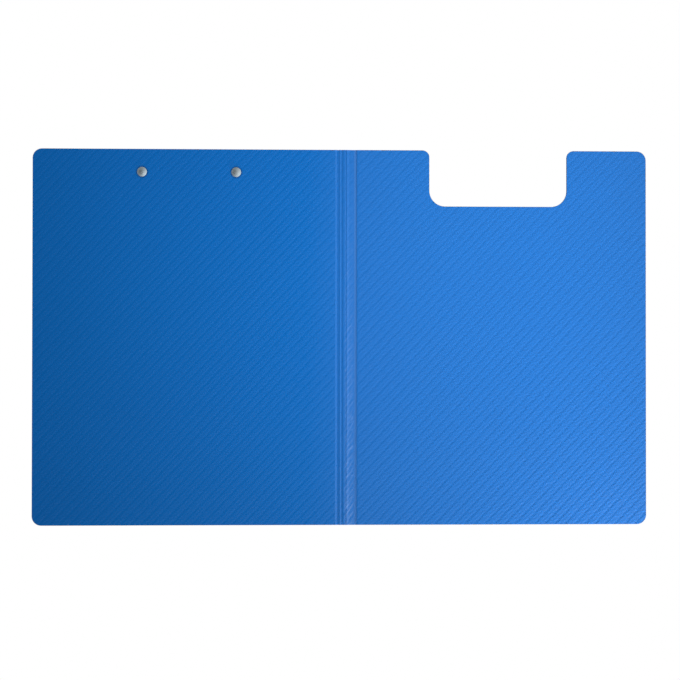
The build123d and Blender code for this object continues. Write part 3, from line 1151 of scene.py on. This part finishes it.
def studio_above(tree, height):
    """Give the upper half of the reflected studio: grey, with two bright bands."""
    bands = add_node(tree, "ShaderNodeValToRGB", {"Fac": remap(tree, height, 0.0, 1.0, 0.0, 1.0)})
    ramp = bands.color_ramp
    first, last = ramp.elements[0], ramp.elements[1]
    first.position, last.position = 0.0, 1.0
    first.color = (0.30, 0.30, 0.30, 1)
    last.color = (0.85, 0.85, 0.85, 1)
    for place, grey in ((0.22, 0.45), (0.34, 1.0), (0.50, 1.0), (0.62, 0.38), (0.80, 0.42), (0.92, 0.95)):
        stop = ramp.elements.new(place)
        stop.color = (grey, grey, grey, 1)
    return bands.outputs["Color"]


def studio_below(tree, direction, parts):
    """Give the lower half of the reflected studio.

    It is dim straight down on the picture's left, lighter on its right and far out, and bright far to the
    lower right.
    """
    corner = add_node(
        tree, "ShaderNodeVectorMath", {0: direction, 1: (-0.78, -0.62, 0)}, operation="DOT_PRODUCT"
    )
    side = remap(tree, parts["X"], 0.13, -0.16, 0.0, 0.75)
    rim = remap(tree, parts["Z"], -0.88, -0.62, 0.0, 0.55)
    glow = combine(tree, "POWER", combine(tree, "MAXIMUM", corner.outputs["Value"], 0.0), 2.0)
    glow = combine(tree, "MINIMUM", combine(tree, "MULTIPLY", glow, 6.0), 0.65)
    return combine(tree, "ADD", combine(tree, "MAXIMUM", side, rim), combine(tree, "ADD", glow, 0.01))


def studio_world():
    """White where the camera looks; soft even light on surfaces; a banded studio in reflections."""
    world = bpy.data.worlds.new("studio")
    bpy.context.scene.world = world
    world.use_nodes = True
    tree = world.node_tree
    tree.nodes.clear()
    path = add_node(tree, "ShaderNodeLightPath").outputs
    direction = add_node(tree, "ShaderNodeTexCoord").outputs["Generated"]
    parts = add_node(tree, "ShaderNodeSeparateXYZ", {0: direction}).outputs
    is_above = remap(tree, parts["Z"], -0.05, 0.05, 0.0, 1.0)
    studio = add_node(
        tree,
        "ShaderNodeMix",
        {0: is_above, 2: studio_below(tree, direction, parts), 3: studio_above(tree, parts["Z"])},
        data_type="FLOAT",
    )
    soft_light = background(tree, remap(tree, parts["Z"], -0.15, 0.25, 0.10, 0.62))
    lit = mix_shaders(tree, path["Is Glossy Ray"], soft_light, background(tree, studio.outputs[0]))
    shown = mix_shaders(tree, path["Is Camera Ray"], lit, background(tree, 1.0))
    add_node(tree, "ShaderNodeOutputWorld", {"Surface": shown.outputs[0]})


def soft_lamp(name, place, aim, size, power, spread=180, in_gloss=True):
    """Hang a square soft lamp that faces a point."""
    direction = Vector(aim) - Vector(place)
    deselect()
    bpy.ops.object.light_add(
        type="AREA", location=place, rotation=direction.to_track_quat("-Z", "Y").to_euler()
    )
    lamp = bpy.context.object
    lamp.name = name
    lamp.data.shape = "SQUARE"
    lamp.data.size = size
    lamp.data.energy = power
    lamp.data.spread = math.radians(spread)
    lamp.visible_camera = False
    lamp.visible_glossy = in_gloss


def upper_sun():
    """Light the inner side with a wide soft sun."""
    deselect()
    bpy.ops.object.light_add(type="SUN", rotation=(math.radians(38), math.radians(-22), 0))
    sun = bpy.context.object
    sun.name = "upper_soft_sun"
    sun.data.energy = 1.1
    sun.data.angle = math.radians(28)


def aim_camera(stage):
    """Set the camera below the folder, turned as the settings say."""
    turn = Euler((stage.turn[0], math.pi + stage.turn[1], stage.turn[2]))
    back = turn.to_matrix() @ Vector((0, 0, 1))
    deselect()
    bpy.ops.object.camera_add(location=Vector(stage.aim) + back * stage.distance, rotation=turn)
    camera = bpy.context.object
    camera.data.lens = stage.lens
    camera.data.clip_end = 20
    bpy.context.scene.camera = camera


class FolderStage(bpy.types.Operator):
    """Set up the floor, the lamps, the world and the camera"""

    bl_idname = "folder.stage"
    bl_label = "Stage"

    def execute(self, context):
        stage = context.scene.folder_stage
        floor_size, floor_gap = 60, 0.02 * MM
        deselect()
        bpy.ops.mesh.primitive_plane_add(size=floor_size, location=(0, 0, cad_low.z - floor_gap))
        floor = bpy.context.object
        floor.name = "floor"
        floor.data.materials.append(one_sided_floor(stage.floor_grey))
        studio_world()
        soft_lamp(
            "lower_main_lamp",
            place=(-0.13, 0.10, -1.5),
            aim=(-0.13, 0.09, 0),
            size=0.2,
            power=1.62,
            spread=56,
            in_gloss=False,
        )
        soft_lamp(
            "lower_rib_lamp",
            place=(-0.34, -0.72, -0.085),
            aim=(-0.22, -0.05, 0),
            size=0.08,
            power=0.8,
            spread=54,
            in_gloss=False,
        )
        soft_lamp("lower_spark_lamp", place=(-0.52, -0.43, -0.90), aim=(0, 0, 0), size=0.2, power=0.45)
        upper_sun()
        aim_camera(stage)
        context.scene.view_settings.view_transform = "Standard"
        return {"FINISHED"}


class FolderPanel(bpy.types.Panel):
    """Lists the steps that build the folder and its stage"""

    bl_idname = "VIEW3D_PT_folder"
    bl_label = "Clipboard folder"
    bl_space_type = "VIEW_3D"
    bl_region_type = "UI"
    bl_category = "Folder"

    def draw(self, context):
        for operator in operators:
            self.layout.operator(operator.bl_idname)
        for name, group in groups.items():
            for key in group.__annotations__:
                self.layout.prop(getattr(context.scene, name), key)


operators = (
    FolderBoardSheet,
    FolderCoverSheet,
    FolderSpineSheet,
    FolderFoldWebs,
    FolderRivets,
    FolderClipPlates,
    FolderHingePin,
    FolderGuards,
    FolderSprings,
    FolderStage,
)
groups = {
    "folder_sheet": FolderSheetSettings,
    "folder_clip": FolderClipSettings,
    "folder_stage": FolderStageSettings,
}


def register():
    for entry in (*groups.values(), *operators, FolderPanel):
        bpy.utils.register_class(entry)
    for name, group in groups.items():
        setattr(bpy.types.Scene, name, bpy.props.PointerProperty(type=group))


def unregister():
    for name in groups:
        delattr(bpy.types.Scene, name)
    for entry in reversed((*groups.values(), *operators, FolderPanel)):
        bpy.utils.unregister_class(entry)


def main():
    register()
    for operator in operators:
        getattr(bpy.ops.folder, operator.bl_idname.split(".")[1])()


if __name__ == "__main__":
    main()
